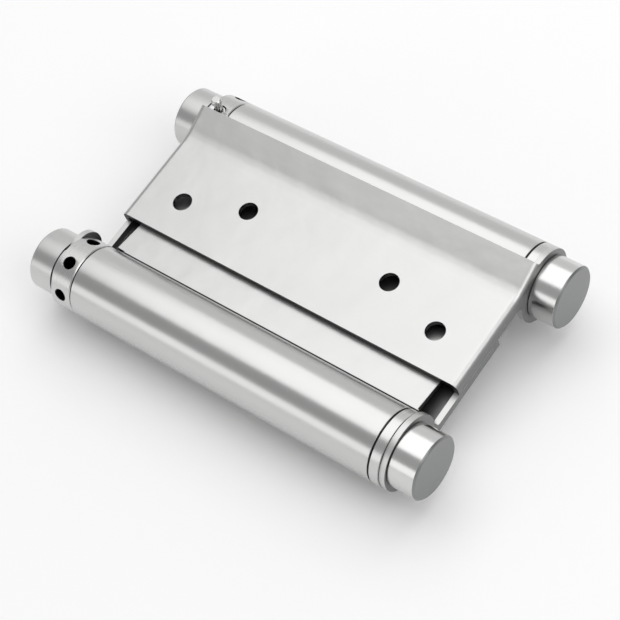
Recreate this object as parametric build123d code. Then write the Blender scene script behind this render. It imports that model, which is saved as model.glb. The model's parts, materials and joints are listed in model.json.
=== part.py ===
from build123d import *
import os
from math import asin, atan2, cos, degrees, hypot, pi, radians, sin, sqrt

# Double action spring hinge, lying closed. Millimetres.
# X runs along both barrels and +Z is up. The origin is midway between the two barrel axes.
# The upper leaf turns on the far barrel (+Y) and the lower leaf on the near barrel (-Y).
# The lower half is the upper half turned half round about X.

# Sheet metal
sheet = 1.8                  # thickness of the leaves and of the centre plate
barrel_radius = 11.5         # outside of a rolled barrel
barrel_spacing = 69.0        # between the two barrel axes
web_overhang = 2.7           # web beyond the barrels at their collar end
web_inset = 0.5              # web short of the barrels at their plug end
roll_in_radius = 3.0         # middle of the bend that leads the web into a barrel
seam_angle = 5.0             # where the rolled edge stops above the web

# Leaves
leaf_length = 125.8          # over the two side walls
leaf_free_edge = 44.0        # barrel axis to the free edge
leaf_level = 10.5            # barrel axis to the outer face of the flat
cover_edge = 1.2             # barrel axis to the edge of the strip that laps over the barrel
cover_slope = 19.5           # rise of that strip, degrees
cover_bend_radius = 4.0      # outside of the soft bend between the flat and the strip
wall_bend_radius = 2.2       # outside of the bend into a side wall
plug_ear_margin = 0.3        # round ear beside the fixed plug, over the barrel's radius
plug_ear_offset = 1.1        # barrel axis to the middle of that ear
plug_ear_angle = 130.0       # direction of that offset, from +Y towards +Z
collar_ear_inset = 2.0       # round ear beside the adjusting collar, under the barrel's radius
lobe_radius = 7.0            # lobe of that ear, which covers the mouth of the rolled barrel
lobe_offset = 6.5            # barrel axis to the middle of the lobe
lobe_angle = 216.0
ear_fillet = 2.0             # between an ear and the lower edge of its wall
screw_hole_radius = 3.1
outer_hole_spacing = 95.0
outer_hole_row = 32.0        # barrel axis to the row nearer the free edge
inner_hole_spacing = 53.0
inner_hole_row = 25.0

# Turned parts
spindle_radius = 4.0
cap_radius = 9.9
cap_length = 8.9
cap_chamfer = 0.6
cap_end_wall = 2.0           # cap's closed end, beyond the spindle
bush_radius = 5.5
collar_rim_length = 7.3
collar_boss_length = 7.5
plug_rim_length = 3.2
plug_boss_length = 9.0
plug_groove = 0.4            # narrow groove between the plug's rim and the barrel
plug_groove_depth = 0.8
rim_chamfer = 0.3
key_width = 4.0
key_depth = 2.5
key_angle = 150.0

# Tommy-bar holes and stop pin
tommy_hole_radius = 1.8
tommy_hole_floor = 6.5       # barrel axis to the bottom of a hole
tommy_hole_count = 6
tommy_hole_pitch = 55.0      # degrees; the rest of the rim backs the spring's end
pin_foot_radius = 1.75
pin_foot_depth = 0.5         # top of the foot below the collar's surface
pin_neck_radius = 1.25
pin_head_radius = 1.7
pin_head_height = 1.7
pin_head_chamfer = 0.4
pin_top = 16.9               # barrel axis to the top of the head

# Torsion spring
wire_radius = 1.2
coil_radius = 6.9            # middle of the wire
coil_pitch = 8.0
coil_sides = 12              # straight runs in each turn of the coil
wire_sides = 6
spring_tang_length = 5.0

# Clearances
cover_gap = 0.4              # leaf strip over the barrel
web_gap = 0.25               # free edge of a closed leaf over the web
wall_gap = 0.2               # between the side walls of the two closed leaves
running_gap = 0.05           # bore over spindle
face_gap = 0.1               # ear to the turned face beside it
collar_gap = 0.5             # collar to barrel, end to end
boss_gap = 0.4               # collar boss inside the barrel
plug_gap = 0.05              # plug boss inside the barrel
cap_gap = 0.15               # cap to ear
pin_gap = 0.2                # stop pin to the leaf's edge
tang_gap = 0.1               # spring tang in its hole
tang_end_gap = 0.5           # end of a tang to the bottom of its hole

# Worked out from the sizes above
half_spacing = barrel_spacing / 2
half_leaf = leaf_length / 2
barrel_bore = barrel_radius - sheet
plug_ear_radius = barrel_radius + plug_ear_margin
collar_ear_radius = barrel_radius - collar_ear_inset
cover_radius = barrel_radius + cover_gap + sheet
cover_bend_y = (leaf_level * cos(radians(cover_slope)) - cover_radius) / sin(radians(cover_slope))
cover_edge_z = (cover_radius - cover_edge * sin(radians(cover_slope))) / cos(radians(cover_slope))
inner_level = leaf_level - sheet
closed_tilt = degrees(atan2(inner_level, leaf_free_edge)
                      - asin((sheet / 2 + web_gap) / hypot(inner_level, leaf_free_edge)))
wall_edge = half_spacing * sin(radians(closed_tilt)) + wall_gap / 2
ear_inner = half_leaf - sheet
collar_start = -ear_inner + face_gap
collar_end = collar_start + collar_rim_length
barrel_start = collar_end + collar_gap
plug_rim_end = ear_inner - face_gap
plug_rim_start = plug_rim_end - plug_rim_length
barrel_end = plug_rim_start - plug_groove
web_start = barrel_start - web_overhang
web_end = barrel_end - web_inset
cap_start = half_leaf + cap_gap
hinge_end = cap_start + cap_length
spindle_end = hinge_end - cap_end_wall
collar_boss_end = collar_end + collar_boss_length
plug_boss_start = barrel_end - plug_boss_length
collar_middle = (collar_start + collar_end) / 2


def rod(radius, start, end):
    """A cylinder along X about the barrel axis."""
    rod_length = end - start
    cylinder = Cylinder(radius, rod_length, align=(Align.CENTER, Align.CENTER, Align.MIN))
    return Pos(start, 0, 0) * Rot(0, 90, 0) * cylinder


def across(points):
    """Points (y, z) across the barrels, as vectors in the YZ plane."""
    return [Vector(0, y, z) for y, z in points]


def slab(profile, start, end):
    """A face drawn in the YZ plane, made solid from X = start to X = end."""
    return Pos(start, 0, 0) * extrude(profile, end - start, dir=(1, 0, 0))


def ring_sector(centre, middle_radius, first, last):
    """Part of a ring one sheet thick, in the YZ plane, from one angle to another."""
    y0, z0 = centre
    outer = middle_radius + sheet / 2
    inner = middle_radius - sheet / 2
    mid = (first + last) / 2

    def at(radius, angle):
        return (y0 + radius * cos(radians(angle)), z0 + radius * sin(radians(angle)))
    o1, o2, o3 = across([at(outer, first), at(outer, mid), at(outer, last)])
    i1, i2, i3 = across([at(inner, first), at(inner, mid), at(inner, last)])
    edges = [ThreePointArc(o1, o2, o3), Line(o3, i3), ThreePointArc(i3, i2, i1), Line(i1, o1)]
    return make_face(edges)


def closed_leaf(piece):
    """Turns a leaf from parallel with the web to its closed rest, on the far barrel."""
    return Pos(0, half_spacing, 0) * Rot(closed_tilt, 0, 0) * piece


# Centre plate

def roll_in_centre():
    """Middle of the small bend between the web and the near barrel (y, z)."""
    reach = barrel_radius - sheet / 2 + roll_in_radius
    return (-half_spacing + sqrt(reach ** 2 - roll_in_radius ** 2), -roll_in_radius)


def key_notch():
    """Space for the plug's key in the barrel's end."""
    notch = Box(key_depth, key_width, 2 * sheet,
                align=(Align.MAX, Align.CENTER, Align.MIN))
    return Pos(barrel_end, 0, 0) * Rot(key_angle - 90, 0, 0) * Pos(0, 0, barrel_bore - sheet / 2) * notch


def centre_plate():
    bend_y, bend_z = roll_in_centre()
    meet = degrees(atan2(-bend_z, bend_y + half_spacing))
    roll = ring_sector((-half_spacing, 0), barrel_radius - sheet / 2, seam_angle, 360 - meet)
    lead_in = ring_sector((bend_y, bend_z), roll_in_radius, 90, 180 - meet)
    near_barrel = slab(roll, barrel_start, barrel_end) + slab(lead_in, barrel_start, barrel_end)
    far_barrel = Rot(180, 0, 0) * near_barrel
    web_length = web_end - web_start
    web = Box(web_length, -2 * bend_y, sheet, align=(Align.MIN, Align.CENTER, Align.CENTER))
    plate = near_barrel + far_barrel + Pos(web_start, 0, 0) * web
    far_notch = Pos(0, half_spacing, 0) * key_notch()
    return plate - far_notch - Rot(180, 0, 0) * far_notch


# Leaves, drawn parallel with the web and about their own barrel axis

def leaf_section():
    """The folded sheet: flat, soft bend and the strip that laps over the barrel."""
    slope = radians(cover_slope)
    outer = [(-leaf_free_edge, leaf_level), (cover_bend_y, leaf_level), (-cover_edge, cover_edge_z)]
    inner_edge = (-cover_edge + sheet * sin(slope), cover_edge_z - sheet * cos(slope))
    inner_bend = (cover_bend_y + sheet * (1 - cos(slope)) / sin(slope), inner_level)
    inner = [inner_edge, inner_bend, (-leaf_free_edge, inner_level)]
    outline = make_face(Polyline(*across(outer + inner), close=True))
    upper_bend = outline.vertices().sort_by_distance(Vector(0, cover_bend_y, leaf_level))[0]
    outline = fillet(upper_bend, cover_bend_radius)
    lower_bend = outline.vertices().sort_by_distance(Vector(0, *inner_bend))[0]
    return fillet(lower_bend, cover_bend_radius + sheet)


def ear_disc(radius, offset, angle):
    """A round face in the YZ plane, its middle offset from the barrel axis."""
    middle = Vector(0, offset * cos(radians(angle)), offset * sin(radians(angle)))
    return Pos(middle) * (Plane.YZ * Circle(radius))


def side_wall(ear, start, end):
    """Side wall of a leaf, from the free edge to the ear about the spindle."""
    points = [(-leaf_free_edge, leaf_level), (cover_bend_y, leaf_level), (-cover_edge, cover_edge_z),
              (0, 0), (-bush_radius, wall_edge), (-leaf_free_edge, wall_edge)]
    wall = slab(make_face(Polyline(*across(points), close=True)), start, end)
    for disc in ear:
        wall = wall + slab(disc, start, end)
    along_edge = [e for e in wall.edges().filter_by(Axis.X) if abs(e.center().Z - wall_edge) < 0.01]
    inside_corner = sorted(along_edge, key=lambda e: e.center().Y)[-1]
    return fillet(inside_corner, ear_fillet)


def collar_wall():
    ear = ear_disc(collar_ear_radius, 0, 0)
    lobe = ear_disc(lobe_radius, lobe_offset, lobe_angle)
    return side_wall([ear, lobe], -half_leaf, -ear_inner)


def plug_wall():
    ear = ear_disc(plug_ear_radius, plug_ear_offset, plug_ear_angle)
    return side_wall([ear], ear_inner, half_leaf)


def screw_holes():
    holes = []
    for spacing, row in ((outer_hole_spacing, outer_hole_row), (inner_hole_spacing, inner_hole_row)):
        for side in (-1, 1):
            drill = Cylinder(screw_hole_radius, 3 * sheet)
            holes.append(Pos(side * spacing / 2, -row, leaf_level) * drill)
    return holes


def is_outer_bend(edge):
    """An edge where the outer face of the leaf meets the outer face of a side wall."""
    middle = edge.center()
    on_side = abs(abs(middle.X) - half_leaf) < 0.01
    return on_side and middle.Z > leaf_level - 0.05 and middle.Y < -cover_edge - 1


def leaf():
    plate = slab(leaf_section(), -half_leaf, half_leaf)
    tray = plate + collar_wall() + plug_wall()
    tray = fillet([e for e in tray.edges() if is_outer_bend(e)], wall_bend_radius)
    for hole in screw_holes():
        tray = tray - hole
    return tray - rod(bush_radius, -hinge_end, hinge_end)


# Turned parts, about the barrel axis

def chamfered_rod(radius, start, end, size):
    """A rod with a chamfer round the end face named last."""
    piece = rod(radius, min(start, end), max(start, end))
    rim = piece.edges().filter_by(GeomType.CIRCLE).sort_by(Axis.X)[-1 if end > start else 0]
    return chamfer(rim, size)


def spindle():
    return rod(spindle_radius, -spindle_end, spindle_end)


def end_cap():
    """Cap outside the ear beside the fixed plug; the other cap is this one turned end for end."""
    body = chamfered_rod(cap_radius, cap_start, hinge_end, cap_chamfer)
    return body - rod(spindle_radius, cap_start, spindle_end)


def ear_bush():
    """Plain bush in the ear beside the fixed plug."""
    return rod(bush_radius, ear_inner, half_leaf) - rod(spindle_radius + running_gap, 0, hinge_end)


def turned_end_for_end(piece):
    return Rot(0, 0, 180) * piece


def tang_hole(start, end):
    return Pos(0, 0, coil_radius) * rod(wire_radius + tang_gap, start, end)


def stop_pin_angle():
    """Where the pin's neck stands beside the closed leaf's edge."""
    slope = radians(cover_slope)
    y = -cover_edge + sheet * sin(slope)
    z = cover_edge_z - sheet * cos(slope)
    edge_angle = degrees(atan2(z, y)) + closed_tilt
    return edge_angle - degrees(asin((pin_neck_radius + pin_gap) / hypot(y, z)))


def tommy_holes():
    drill = Cylinder(tommy_hole_radius, 2 * barrel_radius,
                     align=(Align.CENTER, Align.CENTER, Align.MIN))
    drill = Pos(collar_middle, 0, tommy_hole_floor) * drill
    return [Rot(stop_pin_angle() - 90 - n * tommy_hole_pitch, 0, 0) * drill
            for n in range(tommy_hole_count)]


def adjusting_collar():
    rim = chamfered_rod(barrel_radius, collar_start, collar_end, rim_chamfer)
    collar = rim + rod(barrel_bore - boss_gap, collar_end, collar_boss_end)
    for hole in tommy_holes():
        collar = collar - hole
    collar = collar - tang_hole(collar_boss_end - spring_tang_length, collar_boss_end)
    return collar - rod(spindle_radius + running_gap, -hinge_end, 0)


def fixed_plug():
    rim = chamfered_rod(barrel_radius, plug_rim_end, plug_rim_start, rim_chamfer)
    seat = rod(barrel_radius - plug_groove_depth, barrel_end, plug_rim_start)
    plug = rim + seat + rod(barrel_bore - plug_gap, plug_boss_start, barrel_end)
    key = Box(key_depth - plug_gap, key_width - 2 * plug_gap, sheet,
              align=(Align.MAX, Align.CENTER, Align.MIN))
    key = Rot(key_angle - 90, 0, 0) * Pos(barrel_end, 0, barrel_bore - plug_gap - sheet / 2) * key
    plug = plug + key
    plug = plug - tang_hole(plug_boss_start, plug_boss_start + spring_tang_length)
    return plug - rod(spindle_radius, 0, hinge_end)


def stop_pin():
    """Stepped pin in the hole beside the leaf's edge."""
    foot = Cylinder(pin_foot_radius, barrel_radius - tommy_hole_floor - pin_foot_depth,
                    align=(Align.CENTER, Align.CENTER, Align.MIN))
    neck = Cylinder(pin_neck_radius, pin_top - tommy_hole_floor - pin_head_height / 2,
                    align=(Align.CENTER, Align.CENTER, Align.MIN))
    head = Cylinder(pin_head_radius, pin_head_height, align=(Align.CENTER, Align.CENTER, Align.MAX))
    head = chamfer(head.edges().sort_by(Axis.Z)[-1], pin_head_chamfer)
    pin = Pos(0, 0, tommy_hole_floor) * foot + Pos(0, 0, tommy_hole_floor) * neck
    pin = pin + Pos(0, 0, pin_top) * head
    return Rot(stop_pin_angle() - 90, 0, 0) * Pos(collar_middle, 0, 0) * pin


def torsion_spring():
    """Coil in short straight runs, with a straight tang into the collar and one into the plug."""
    start = collar_boss_end + wire_radius
    coil_length = plug_boss_start - wire_radius - start
    turns = round(coil_length / coil_pitch)
    runs = turns * coil_sides
    tang_reach = wire_radius + spring_tang_length - tang_end_gap
    points = [Vector(start - tang_reach, 0, coil_radius)]
    for n in range(runs + 1):
        angle = 2 * pi * n / coil_sides
        reach = start + coil_length * n / runs
        points.append(Vector(reach, coil_radius * sin(angle), coil_radius * cos(angle)))
    points.append(Vector(start + coil_length + tang_reach, 0, coil_radius))
    wire = Plane(origin=points[0], z_dir=(1, 0, 0)) * RegularPolygon(wire_radius, wire_sides)
    return sweep(wire, path=Polyline(*points), transition=Transition.RIGHT)


def upper_half():
    """Everything on the far barrel, by name."""
    about_barrel = {
        "spindle": spindle(),
        "spring": torsion_spring(),
        "adjusting_collar": adjusting_collar(),
        "fixed_plug": fixed_plug(),
        "stop_pin": stop_pin(),
        "cap_plug_end": end_cap(),
        "cap_collar_end": turned_end_for_end(end_cap()),
        "bush_plug_end": ear_bush(),
        "bush_collar_end": turned_end_for_end(ear_bush()),
    }
    pieces = {name: Pos(0, half_spacing, 0) * piece for name, piece in about_barrel.items()}
    pieces["leaf"] = closed_leaf(leaf())
    return pieces


def main():
    os.makedirs("parts", exist_ok=True)
    export_step(centre_plate(), "parts/centre_plate.step")
    for name, piece in upper_half().items():
        export_step(piece, f"parts/upper_{name}.step")
        export_step(Rot(180, 0, 0) * piece, f"parts/lower_{name}.step")


main()
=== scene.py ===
import bmesh
import bpy
from math import atan2, copysign, cos, hypot, pi, radians, sin, sqrt, tan
from mathutils import Matrix, Quaternion, Vector
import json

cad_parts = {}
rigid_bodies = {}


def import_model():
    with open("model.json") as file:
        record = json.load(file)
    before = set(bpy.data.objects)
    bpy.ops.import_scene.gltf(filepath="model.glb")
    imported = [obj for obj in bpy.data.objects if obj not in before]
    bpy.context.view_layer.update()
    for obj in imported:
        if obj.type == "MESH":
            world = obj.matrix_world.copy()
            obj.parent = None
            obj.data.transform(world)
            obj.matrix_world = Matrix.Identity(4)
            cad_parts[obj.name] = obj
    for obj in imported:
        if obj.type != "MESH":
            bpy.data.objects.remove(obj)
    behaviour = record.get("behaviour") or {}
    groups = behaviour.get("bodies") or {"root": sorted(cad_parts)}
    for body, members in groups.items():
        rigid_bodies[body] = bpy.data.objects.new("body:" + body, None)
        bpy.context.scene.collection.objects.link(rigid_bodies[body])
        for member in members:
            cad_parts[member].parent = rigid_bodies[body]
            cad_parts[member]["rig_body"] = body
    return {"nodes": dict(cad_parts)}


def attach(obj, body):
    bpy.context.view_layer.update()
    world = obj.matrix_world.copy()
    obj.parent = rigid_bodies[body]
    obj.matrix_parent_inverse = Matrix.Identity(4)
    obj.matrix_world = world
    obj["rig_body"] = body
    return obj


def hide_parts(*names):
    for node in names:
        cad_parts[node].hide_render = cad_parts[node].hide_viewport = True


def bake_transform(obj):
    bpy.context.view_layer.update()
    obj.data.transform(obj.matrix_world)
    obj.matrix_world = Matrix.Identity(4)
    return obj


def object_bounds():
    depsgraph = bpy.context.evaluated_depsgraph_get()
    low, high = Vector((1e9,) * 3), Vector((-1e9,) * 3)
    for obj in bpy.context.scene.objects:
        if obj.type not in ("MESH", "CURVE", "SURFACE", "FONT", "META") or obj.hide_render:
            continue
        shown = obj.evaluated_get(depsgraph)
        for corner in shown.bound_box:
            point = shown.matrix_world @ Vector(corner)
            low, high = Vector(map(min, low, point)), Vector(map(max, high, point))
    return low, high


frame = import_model()
cad_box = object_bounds()
MM = 0.001


# Centre plate
# One stainless sheet, 1.8 mm thick, with both long edges rolled into barrels for the springs. It was
# satin ground along its length before rolling, so light runs down the barrels in long soft streaks.

def linear(hex_colour):
    """An sRGB hex colour, such as "c4c2be", as a linear colour."""
    parts = [int(hex_colour[i:i + 2], 16) / 255 for i in (0, 2, 4)]
    return [p / 12.92 if p <= 0.04045 else ((p + 0.055) / 1.055) ** 2.4 for p in parts] + [1.0]


def new_material(name):
    """An empty material with its shader, ready for nodes."""
    material = bpy.data.materials.new(name)
    material.use_nodes = True
    return material, material.node_tree.nodes["Principled BSDF"]


def add(material, kind, settings=None, **links):
    """Adds a node with its settings. Each link gives an input its value or another node's output."""
    node = material.node_tree.nodes.new(kind)
    for key, value in (settings or {}).items():
        setattr(node, key, value)
    for key, value in links.items():
        socket = node.inputs[int(key[1:])] if key[1:].isdigit() else node.inputs[key.replace("_", " ")]
        if isinstance(value, bpy.types.NodeSocket):
            material.node_tree.links.new(value, socket)
        else:
            socket.default_value = value
    return node


def join(material, output, shader, socket):
    material.node_tree.links.new(output, shader.inputs[socket])


def shades(material, noise, colour, spread):
    """A colour that a noise makes a little darker and lighter."""
    return add(material, "ShaderNodeMapRange", {"data_type": "FLOAT_VECTOR"}, Vector=noise,
               To_Min=[c * (1 - spread) for c in linear(colour)[:3]],
               To_Max=[c * (1 + spread) for c in linear(colour)[:3]]).outputs["Vector"]


def ground_steel(name, colour, roughness, line_mm, depth_mm, end_shade_colour=None, wave_mm=0.05):
    """Stainless steel ground with a belt along X: fine streaks in its gloss and in its surface, over the
    slight waves of rolled sheet. Walls that face along X get the darker end shade colour instead, which is
    painted shade."""
    material, shader = new_material(name)
    shader.inputs["Metallic"].default_value = 1.0
    place = add(material, "ShaderNodeTexCoord").outputs["Object"]
    streaks_per_m = 1 / (line_mm * MM)
    widths_long = 60
    stretched = add(material, "ShaderNodeMapping", Vector=place,
                    Scale=(streaks_per_m / widths_long, streaks_per_m, streaks_per_m))
    streaks = add(material, "ShaderNodeTexNoise", Vector=stretched.outputs[0], Scale=1.0, Detail=4.0,
                  Roughness=0.65)
    cloud_size = 14 * MM
    clouds = add(material, "ShaderNodeTexNoise", Vector=place, Scale=1 / cloud_size, Detail=3.0)
    gloss = add(material, "ShaderNodeMapRange", Value=streaks.outputs[0], To_Min=roughness - 0.025,
                To_Max=roughness + 0.025)
    patches = add(material, "ShaderNodeMapRange", Value=clouds.outputs[0], To_Min=-0.03, To_Max=0.03)
    rough = add(material, "ShaderNodeMath", {"operation": "ADD"}, _0=gloss.outputs[0],
                _1=patches.outputs[0])
    join(material, rough.outputs[0], shader, "Roughness")
    ground = shades(material, streaks.outputs[0], colour, 0.012)
    # Painted shade: faces that turn along X are given a darker colour.
    if end_shade_colour:
        surface = add(material, "ShaderNodeNewGeometry")
        facing = add(material, "ShaderNodeSeparateXYZ", Vector=surface.outputs["Normal"])
        endwise = add(material, "ShaderNodeMath", {"operation": "ABSOLUTE"}, _0=facing.outputs[0])
        end_shade_mask = add(material, "ShaderNodeMapRange", {"interpolation_type": "SMOOTHSTEP"},
                     Value=endwise.outputs[0], From_Min=0.6, From_Max=0.98)
        ground = add(material, "ShaderNodeMix", {"data_type": "RGBA"}, _0=end_shade_mask.outputs[0], _6=ground,
                     _7=shades(material, clouds.outputs[0], end_shade_colour, 0.05)).outputs[2]
    join(material, ground, shader, "Base Color")
    waves = add(material, "ShaderNodeBump", Strength=1.0, Distance=wave_mm * MM, Height=clouds.outputs[0])
    bump = add(material, "ShaderNodeBump", Strength=0.1, Distance=depth_mm * MM, Height=streaks.outputs[0],
               Normal=waves.outputs[0])
    join(material, bump.outputs[0], shader, "Normal")
    return material


sharp = radians(40)


def eased_copy(node, ease_mm, soften=None):
    """A node's form with its sharp edges rounded over, as tumbling and use leave them. soften changes the
    form first."""
    mesh = bpy.data.meshes.new(node + "_eased")
    form = bmesh.new()
    form.from_mesh(frame["nodes"][node].data)
    bmesh.ops.remove_doubles(form, verts=form.verts, dist=0.002 * MM)
    bmesh.ops.dissolve_limit(form, angle_limit=radians(0.3), verts=form.verts, edges=form.edges)
    if soften:
        soften(form)
    form.to_mesh(mesh)
    form.free()
    piece = bpy.data.objects.new(node + "_eased", mesh)
    bpy.context.scene.collection.objects.link(piece)
    ease = piece.modifiers.new("ease", "BEVEL")
    ease.width = ease_mm * MM
    ease.segments = 2
    ease.limit_method = "ANGLE"
    ease.angle_limit = sharp
    even = piece.modifiers.new("even", "WEIGHTED_NORMAL")
    even.weight = 100
    for face in mesh.polygons:
        face.use_smooth = True
    bpy.context.view_layer.update()
    final = bpy.data.meshes.new_from_object(piece.evaluated_get(bpy.context.evaluated_depsgraph_get()))
    piece.modifiers.clear()
    piece.data = final
    return piece


def dress(node, ease_mm, materials, choose=None, soften=None, twist=None):
    """Shows the eased copy of a node in its place, on the node's own body. choose(middle, normal) picks a
    face's material. If twist is given, the piece is left in place on no body; the bodies and ends in twist
    are not used."""
    piece = eased_copy(node, ease_mm, soften)
    piece.data.materials.clear()
    for material in materials:
        piece.data.materials.append(material)
    if choose:
        for face in piece.data.polygons:
            face.material_index = choose(face.center, face.normal)
    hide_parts(node)
    if twist:
        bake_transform(piece)
    else:
        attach(piece, frame["nodes"][node]["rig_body"])


def painted_crease_shade(material, near_mm, far_mm, fade_mm):
    """A soft dark line of painted shade along the web, where the barrel's mouth meets it, on each face:
    near and far are from the hinge's middle, towards the barrel that the leaf of that face doesn't cover."""
    shader = material.node_tree.nodes["Principled BSDF"]
    place = add(material, "ShaderNodeTexCoord").outputs["Object"]
    parts = add(material, "ShaderNodeSeparateXYZ", Vector=place)
    face = add(material, "ShaderNodeMath", {"operation": "SIGN"}, _0=parts.outputs[2])
    reach = add(material, "ShaderNodeMath", {"operation": "MULTIPLY"}, _0=parts.outputs[1],
                _1=face.outputs[0])
    begins = add(material, "ShaderNodeMapRange", {"interpolation_type": "SMOOTHSTEP"},
                 Value=reach.outputs[0], From_Min=-far_mm * MM, From_Max=-(far_mm - fade_mm) * MM)
    ends = add(material, "ShaderNodeMapRange", {"interpolation_type": "SMOOTHSTEP"},
               Value=reach.outputs[0], From_Min=-near_mm * MM, From_Max=-(near_mm - fade_mm) * MM,
               To_Min=1.0, To_Max=0.0)
    line = add(material, "ShaderNodeMath", {"operation": "MULTIPLY"}, _0=begins.outputs[0],
               _1=ends.outputs[0])
    # The line is painted shade: a darker colour and a duller gloss.
    for socket, shade_value in (("Base Color", linear("1a1a1a")), ("Roughness", (0.6, 0.6, 0.6, 1.0))):
        unshaded_value = shader.inputs[socket].links[0].from_socket
        mixed = add(material, "ShaderNodeMix", {"data_type": "RGBA"}, _0=line.outputs[0], _6=unshaded_value,
                    _7=shade_value)
        join(material, mixed.outputs[2], shader, socket)


def plate_finish(middle, normal):
    """Picks the rolled barrels, the sheared ends or the flat web between its two faces."""
    if abs(normal.x) > 0.95:
        return 1
    return 2 if abs(middle.z) < 1.0 * MM else 0


# The barrels mirror the lights as long bands with clear edges. The web is duller, so it shows one soft
# sweep of light, and a fine dark line of painted shade where the barrel's mouth meets it. The sheared ends
# are dull, and their near black colour is painted shade.
rolled_sheet = ground_steel("satin ground stainless sheet, rolled and polished", "c8c8c7", 0.25,
                            line_mm=0.25, depth_mm=0.002)
web_sheet = ground_steel("satin ground stainless sheet, as bought", "cbcbca", 0.34,
                         line_mm=0.25, depth_mm=0.002, wave_mm=0.2)
# Painted shade: a fine dark line along the web where the barrel's mouth meets it.
painted_crease_shade(web_sheet, near_mm=21.7, far_mm=23.2, fade_mm=0.35)
# The plate's sheared ends, the leaves' free edges and their screw hole walls are dull, and this near black
# colour on them is painted shade.
sheared_steel_shade = ground_steel("sheared stainless edge, painted dark as shade", "484848", 0.5, line_mm=0.4, depth_mm=0.01)
dress("centre_plate", 0.15, [rolled_sheet, sheared_steel_shade, web_sheet], plate_finish)


# Leaves
# Each leaf is pressed from the same sheet: a flat, a raised strip that laps over the barrel and a side
# wall at each end that grows into an ear. Its sheared edges are dull, and their near black colour is
# painted shade.

half_spacing = 34.5 * MM          # from the middle of the hinge to a barrel's axis
closed_tilt = radians(9.715)      # of a shut leaf against the web
# The rest is from the barrel's axis, with the leaf level.
flat_z = 10.5 * MM                # outer face of the flat
sheet_z = 2.3 * MM                # both faces of the sheet lie within this of it
strip_slope = radians(19.5)
bend_y = -11.39 * MM              # where the flat turns up into the strip
bend_reach = 2.6 * MM             # of the softened bend, to each side
solid_bend_drop = 0.059 * MM      # what the solid's own bend of 4 mm takes off, and over what reach
solid_bend_reach = 0.69 * MM
ear_radius, lobe_radius, lobe_offset = 9.5, 7.0, 6.5
solid_lobe, seen_lobe = 216, 203  # degrees round the barrel's axis
lobe_trim = 0.3 * MM
collar_wall_x = -61 * MM


def is_sheared(middle, normal):
    """The free edge of a leaf, which faces the other barrel, and the walls of its screw holes."""
    across_leaf = abs(normal.y) > 0.9 and abs(middle.y) < 15 * MM
    in_hole = abs(normal.x) < 0.98 and abs(normal.z) < 0.3 and abs(middle.x) < 55 * MM
    return across_leaf or in_hole


def ear_reach(angle, lobe_degrees):
    """Radius of the outline of a collar's ear, which is round with a lobe to one side."""
    off_lobe = angle - radians(lobe_degrees)
    across = lobe_radius ** 2 - (lobe_offset * sin(off_lobe)) ** 2
    lobe = lobe_offset * cos(off_lobe) + (sqrt(across) if across > 0 else 0.0)
    return max(ear_radius, lobe) * MM


def soften_bend(form, up):
    """Spreads the bend between the flat and the strip over 5 mm, as a wide press tool leaves it, and sets
    the lobe of the collar's ear a little nearer the leaf. up is 1 for the upper leaf and -1 for the lower
    one, which is turned half round."""
    to_leaf = (Matrix.Rotation(-closed_tilt, 4, "X") @ Matrix.Translation((0, -half_spacing, 0))
               @ Matrix.Diagonal((1, up, up, 1)))
    form.transform(to_leaf)
    for share in (-1.0, -0.75, -0.5, 0.5, 0.75, 1.0):
        bmesh.ops.bisect_plane(form, geom=form.verts[:] + form.edges[:] + form.faces[:],
                               plane_co=(0, bend_y + share * bend_reach, 0), plane_no=(0, 1, 0))
    for point in form.verts:
        off_bend = abs(point.co.y - bend_y)
        if off_bend < bend_reach and point.co.z > flat_z - sheet_z:
            fill = tan(strip_slope) / (4 * bend_reach) * (bend_reach - off_bend) ** 2
            pressed = max(0.0, solid_bend_drop * (1 - off_bend / solid_bend_reach))
            point.co.z += fill - pressed
        angle, radius = atan2(point.co.z, point.co.y), hypot(point.co.y, point.co.z)
        on_outline = abs(radius - ear_reach(angle, solid_lobe)) < 0.05 * MM
        if point.co.x < collar_wall_x and on_outline:
            reach = ear_reach(angle, seen_lobe) - lobe_trim * (radius > 9.9 * MM)
            point.co.y, point.co.z = reach * cos(angle), reach * sin(angle)
    form.transform(to_leaf.inverted())


def leaf_finish(up):
    """Picks the ground outside, the sheared edges or the dull inside of a leaf, whose dark colours are
    partly painted shade.
    """
    def choose(middle, normal):
        under = normal.z * up < -0.5 and abs(middle.x) < 60.5 * MM
        inward = normal.x * middle.x < 0 and abs(normal.x) > 0.7 and abs(middle.x) > 58 * MM
        inside = under or (inward and abs(middle.y) < 24 * MM)
        return 2 if inside else int(is_sheared(middle, normal))
    return choose


# The flat is the dullest of the ground faces and shows one broad, even light that fades to the left. Its
# end walls are painted darker as shade, and its inside has a dull mill finish whose darker colour is
# partly painted shade.
pressed_sheet = ground_steel("satin ground stainless sheet, pressed", "cdcdcc", 0.38,
                             line_mm=0.25, depth_mm=0.002, end_shade_colour="828382", wave_mm=0.2)
# A real dull mill finish inside the leaf; its dark colour is partly painted shade.
mill_sheet_shade = ground_steel("mill finished inside of the pressing", "7c7c7c", 0.4, line_mm=0.4,
                          depth_mm=0.004)
for leaf, up in (("upper_leaf", 1), ("lower_leaf", -1)):
    dress(leaf, 0.2, [pressed_sheet, sheared_steel_shade, mill_sheet_shade], leaf_finish(up),
          lambda form, up=up: soften_bend(form, up))


# Spindles and springs
# The bright ground spindles run from cap to cap. The springs are dark oiled wire inside the barrels,
# held by the plug at one end and turned by the collar, which goes round with the leaf, at the other.

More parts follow.
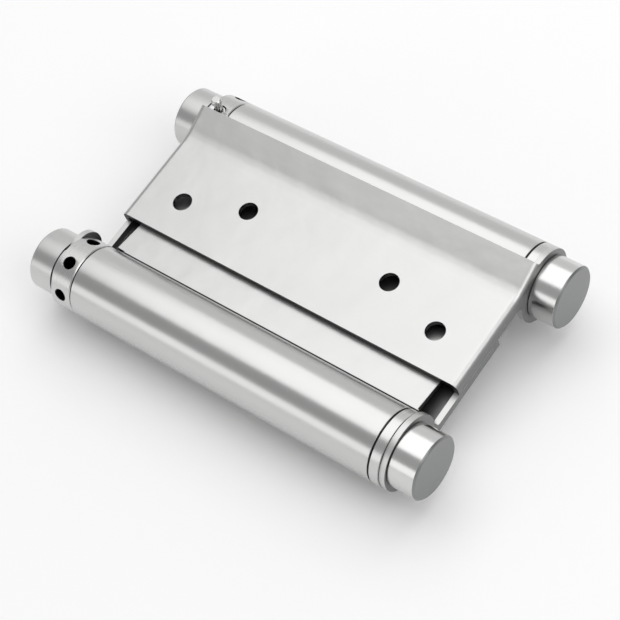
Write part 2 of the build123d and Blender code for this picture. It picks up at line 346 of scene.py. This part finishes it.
# The bar is bright with sharp highlights, and the oil leaves the wire dark with a soft shine.
ground_bar = ground_steel("centreless ground stainless bar", "c4c4c3", 0.2, line_mm=0.2, depth_mm=0.002)
oiled_wire = ground_steel("oiled spring wire", "4a4b4c", 0.35, line_mm=0.3, depth_mm=0.003)
spring_start, spring_end = (-44 * MM, 0, 0), (46 * MM, 0, 0)
for barrel in ("upper", "lower"):
    dress(barrel + "_spindle", 0.2, [ground_bar])
    dress(barrel + "_spring", 0.1, [oiled_wire],
          twist=(barrel + "_leaf_set", "centre", spring_start, spring_end))


# Adjusting collars and plugs
# Turned from stainless bar and polished on the lathe, then cross drilled. The drilled holes, their broken
# edges and the part inside the rolled barrel are painted near black as shade.

def turned_steel(name, colour, roughness, ring_mm, depth_mm):
    """Stainless steel turned on a lathe: rings about the barrel's axis, on the round and on the ends."""
    material, shader = new_material(name)
    shader.inputs["Metallic"].default_value = 1.0
    place = add(material, "ShaderNodeTexCoord").outputs["Object"]
    parts = add(material, "ShaderNodeSeparateXYZ", Vector=place)
    off_middle = add(material, "ShaderNodeMath", {"operation": "ABSOLUTE"}, _0=parts.outputs[1])
    off_axis = add(material, "ShaderNodeMath", {"operation": "SUBTRACT"}, _0=off_middle.outputs[0],
                   _1=half_spacing)
    spoke = add(material, "ShaderNodeCombineXYZ", X=off_axis.outputs[0], Y=parts.outputs[2])
    radius = add(material, "ShaderNodeVectorMath", {"operation": "LENGTH"}, _0=spoke.outputs[0])
    run = add(material, "ShaderNodeMath", {"operation": "ADD"}, _0=parts.outputs[0],
              _1=radius.outputs["Value"])
    rings = add(material, "ShaderNodeTexNoise", {"noise_dimensions": "1D"}, W=run.outputs[0],
                Scale=1 / (ring_mm * MM), Detail=3.0, Roughness=0.6)
    gloss = add(material, "ShaderNodeMapRange", Value=rings.outputs[0], To_Min=roughness - 0.015,
                To_Max=roughness + 0.015)
    join(material, gloss.outputs[0], shader, "Roughness")
    join(material, shades(material, rings.outputs[0], colour, 0.01), shader, "Base Color")
    bump = add(material, "ShaderNodeBump", Strength=0.15, Distance=depth_mm * MM, Height=rings.outputs[0])
    join(material, bump.outputs[0], shader, "Normal")
    return material


hole_x = 57.35          # mm from the middle of the hinge to the row of tommy holes
barrel_radius = 11.5    # mm


def off_axis_mm(middle):
    return hypot(abs(middle.y) - half_spacing, middle.z) / MM


def in_shaded_hole(middle, normal):
    """The faces painted near black as shade: the walls of the collar's holes, with their broken edges, and
    the bar inside the rolled barrel.
    """
    outward = Vector((0, middle.y - copysign(half_spacing, middle.y), middle.z)).normalized()
    near_hole = abs(abs(middle.x) / MM - hole_x) < 2.5
    inside = off_axis_mm(middle) < barrel_radius - 0.4
    return int(inside or (near_hole and normal.dot(outward) < 0.96))


def break_hole_edges(form):
    """Countersinks the collar's holes by 0.3 mm, as the drill's burr was taken off."""
    def is_rim(edge):
        middle = (edge.verts[0].co + edge.verts[1].co) / 2
        in_row = abs(abs(middle.x) / MM - hole_x) < 1.9
        return in_row and off_axis_mm(middle) > barrel_radius - 0.3 and edge.calc_face_angle(0) > sharp
    bmesh.ops.bevel(form, geom=[edge for edge in form.edges if is_rim(edge)], offset=0.3 * MM,
                    segments=1, affect="EDGES", clamp_overlap=False)


# The rims carry the barrels' bands of light on, a little softer. The holes are painted near black as
# shade, so they read as black dots.
polished_bar = turned_steel("lathe polished stainless bar", "cbcbca", 0.27, ring_mm=0.3, depth_mm=0.002)
# Painted shade: near black on the holes, their broken edges and the bar inside the barrel.
bore_shade = turned_steel("drilled bore, painted near black as shade", "161616", 0.5, ring_mm=0.5, depth_mm=0.01)
for barrel in ("upper", "lower"):
    dress(barrel + "_adjusting_collar", 0.12, [polished_bar, bore_shade], in_shaded_hole,
          break_hole_edges)
    dress(barrel + "_fixed_plug", 0.12, [polished_bar])


# End caps
# Turned stainless caps, pressed on the spindle's ends. The round side is polished, and the flat end is
# faced off and left satin.

# The right caps flash white beside dark bands, the left ones are softer, and the flat ends are satin with
# faint rings, in a darker grey that is painted shade.
mirror_bar = turned_steel("bright polished stainless bar", "d2d2d1", 0.22, ring_mm=0.3, depth_mm=0.001)
brushed_bar = turned_steel("satin brushed stainless bar", "c8c8c7", 0.28, ring_mm=0.3, depth_mm=0.0008)
faced_end_shade = turned_steel("satin faced stainless end, darkened as painted shade", "8b8d8c", 0.38, ring_mm=0.35, depth_mm=0.003)
for barrel in ("upper", "lower"):
    for end, round_side in (("plug", mirror_bar), ("collar", brushed_bar)):
        dress(f"{barrel}_cap_{end}_end", 0.1, [round_side, faced_end_shade],
              lambda middle, normal: int(abs(normal.x) > 0.5))


# Bushes and stop pins
# Black nylon bushes line the ears. The stop pins are small turned steel pins with a chamfered head.

def moulded_nylon(name, colour, roughness):
    """A plastic moulded in a fine grained tool, which gives it a dull, even sheen."""
    material, shader = new_material(name)
    shader.inputs["IOR"].default_value = 1.53
    shader.inputs["Roughness"].default_value = roughness
    place = add(material, "ShaderNodeTexCoord").outputs["Object"]
    grain = add(material, "ShaderNodeTexNoise", Vector=place, Scale=1 / (0.4 * MM), Detail=2.0)
    join(material, shades(material, grain.outputs[0], colour, 0.2), shader, "Base Color")
    bump = add(material, "ShaderNodeBump", Strength=0.2, Distance=0.01 * MM, Height=grain.outputs[0])
    join(material, bump.outputs[0], shader, "Normal")
    return material


black_nylon = moulded_nylon("moulded black nylon", "1c1c1d", 0.5)
for barrel in ("upper", "lower"):
    for end in ("plug", "collar"):
        dress(f"{barrel}_bush_{end}_end", 0.08, [black_nylon])
    dress(barrel + "_stop_pin", 0.1, [polished_bar])


# Studio
# A pale floor under the hinge, a broad soft box above it, a low one in front and a pale wall behind.

floor_z = cad_box[0][2]
floor_reach = 6.0
floor_mesh = bpy.data.meshes.new("floor")
plate = bmesh.new()
bmesh.ops.create_grid(plate, x_segments=1, y_segments=1, size=floor_reach)
plate.to_mesh(floor_mesh)
plate.free()
floor = bpy.data.objects.new("floor", floor_mesh)
floor.location.z = floor_z
bpy.context.scene.collection.objects.link(floor)
pale_paint, floor_shader = new_material("pale floor")
floor_shader.inputs["Base Color"].default_value = linear("fcfcfc")
floor_shader.inputs["Roughness"].default_value = 0.9
floor_mesh.materials.append(pale_paint)


def soft_box(name, middle, aim, width, height, radiance, turn=0.0):
    """A rectangular light of an even brightness, facing its aim, turned about its own middle line."""
    lamp = bpy.data.lights.new(name, "AREA")
    lamp.shape = "RECTANGLE"
    lamp.size = width
    lamp.size_y = height
    lamp.energy = radiance * pi * width * height
    lit = bpy.data.objects.new(name, lamp)
    lit.location = middle
    facing = Vector(middle) - Vector(aim)
    lit.rotation_euler = (facing.to_track_quat("Z", "Y") @ Quaternion((0, 0, 1), radians(turn))).to_euler()
    bpy.context.scene.collection.objects.link(lit)


soft_box("soft_box_above", (-0.2, 0.44, 1.25), (-0.2, 0.44, 0.0), 1.6, 1.85, 1.22, 6.0)
soft_box("soft_box_front", (-0.6, -1.5, 0.4), (-0.6, 0.0, 0.4), 1.4, 0.7, 1.0)
soft_box("wall_behind", (-0.8, 1.8, 0.75), (-0.8, 0.0, 0.75), 3.0, 2.1, 0.38)
soft_box("soft_box_side", (1.25, -0.1, 1.0), (0.0, 0.0, 0.0), 1.1, 1.1, 1.6)

room = bpy.data.worlds.new("room")
room.use_nodes = True
room.node_tree.nodes["Background"].inputs["Color"].default_value = (0.42, 0.42, 0.42, 1)
bpy.context.scene.world = room
bpy.context.scene.view_settings.view_transform = "Standard"


# Camera
# A long lens from the right, above and in front, turned a little about its own line of sight.

azimuth, elevation, roll = radians(47.148), radians(51.091), radians(-12.309)
stand = (0.2529, -0.2349, 0.4117)
away = Vector((sin(azimuth) * cos(elevation), -cos(azimuth) * cos(elevation), sin(elevation)))
level = Vector((0, 0, 1)).cross(away).normalized()
upright = away.cross(level)
right = level * cos(roll) + upright * sin(roll)
up = upright * cos(roll) - level * sin(roll)
lens = bpy.data.cameras.new("camera")
lens.lens = 104.95
lens.sensor_width = 36
view = bpy.data.objects.new("camera", lens)
turned = Matrix((right, up, away)).transposed().to_4x4()
view.matrix_world = Matrix.Translation(stand) @ turned
bpy.context.scene.collection.objects.link(view)
bpy.context.scene.camera = view
